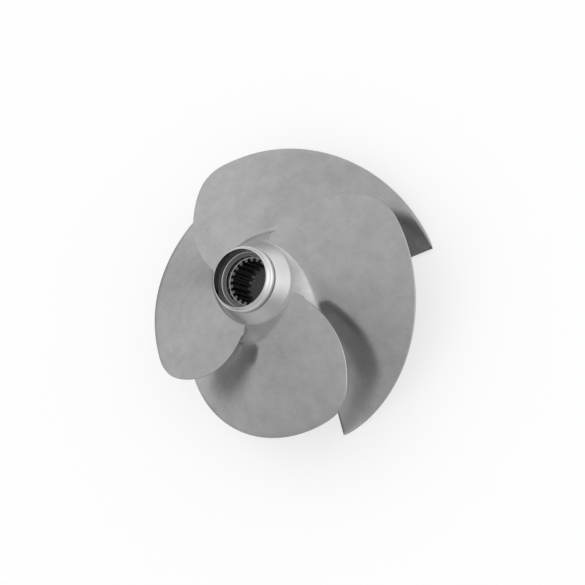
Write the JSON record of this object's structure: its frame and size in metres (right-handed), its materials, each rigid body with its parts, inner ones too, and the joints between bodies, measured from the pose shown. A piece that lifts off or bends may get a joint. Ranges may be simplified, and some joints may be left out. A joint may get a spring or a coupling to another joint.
{
  "type": "jet pump impeller",
  "caption": "Cast stainless jet pump impeller: swirl blades round a flared hollow hub, with a machined nose and a splined bore.",
  "frame": {"origin": "on the axis of rotation, at the flat rear face of the hub on which the impeller rests", "axes": "+Z along the axis of rotation, towards the nose; a blade's leading edge starts from the hub at +X"},
  "size_m": [0.16, 0.16, 0.0788],
  "materials": {
    "cast_stainless": "bead-blasted stainless casting with a bright turned nose"
  },
  "bodies": {
    "root": {"impeller_casting": "cast_stainless"}
  },
  "joints": []
}
